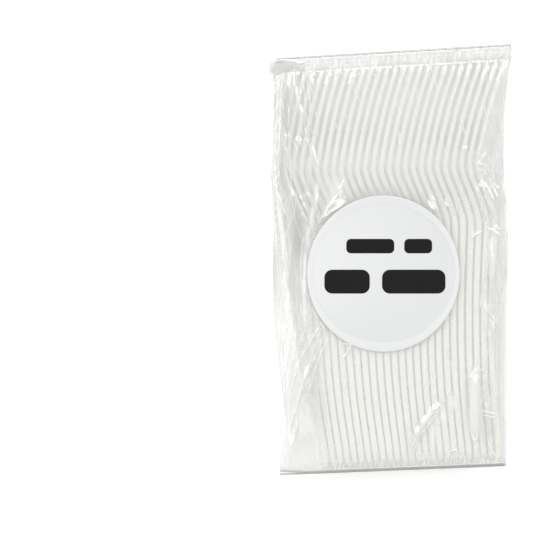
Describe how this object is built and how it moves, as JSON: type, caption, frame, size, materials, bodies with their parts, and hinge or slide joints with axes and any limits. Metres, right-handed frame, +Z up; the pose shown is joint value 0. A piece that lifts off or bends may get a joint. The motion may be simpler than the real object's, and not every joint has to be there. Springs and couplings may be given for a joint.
{
  "type": "plastic cutlery pack",
  "caption": "Sealed clear film bag of nested white plastic forks standing on edge in two layers, tines at one end, with a round paper label.",
  "frame": {"origin": "centre of the pack's bounding box in plan, on the surface that it lies on", "axes": "+Y along the forks towards their tines, +X across the stack, +Z up through the label"},
  "size_m": [0.0952, 0.168, 0.0613],
  "materials": {
    "fork": "satin off-white moulded plastic",
    "film": "clear glossy film",
    "label": "smooth pale grey label"
  },
  "bodies": {
    "root": {"film_bag": "film", "round_label": "label", "lower_fork_01": "fork", "lower_fork_02": "fork", "lower_fork_03": "fork", "lower_fork_04": "fork", "lower_fork_05": "fork", "lower_fork_06": "fork", "lower_fork_07": "fork", "lower_fork_08": "fork", "lower_fork_09": "fork", "lower_fork_10": "fork", "lower_fork_11": "fork", "lower_fork_12": "fork", "lower_fork_13": "fork", "lower_fork_14": "fork", "lower_fork_15": "fork", "lower_fork_16": "fork", "lower_fork_17": "fork", "lower_fork_18": "fork", "lower_fork_19": "fork", "lower_fork_20": "fork", "lower_fork_21": "fork", "lower_fork_22": "fork", "lower_fork_23": "fork", "lower_fork_24": "fork", "lower_fork_25": "fork", "upper_fork_01": "fork", "upper_fork_02": "fork", "upper_fork_03": "fork", "upper_fork_04": "fork", "upper_fork_05": "fork", "upper_fork_06": "fork", "upper_fork_07": "fork", "upper_fork_08": "fork", "upper_fork_09": "fork", "upper_fork_10": "fork", "upper_fork_11": "fork", "upper_fork_12": "fork", "upper_fork_13": "fork", "upper_fork_14": "fork", "upper_fork_15": "fork", "upper_fork_16": "fork", "upper_fork_17": "fork", "upper_fork_18": "fork", "upper_fork_19": "fork", "upper_fork_20": "fork", "upper_fork_21": "fork", "upper_fork_22": "fork", "upper_fork_23": "fork", "upper_fork_24": "fork", "upper_fork_25": "fork"}
  },
  "joints": []
}
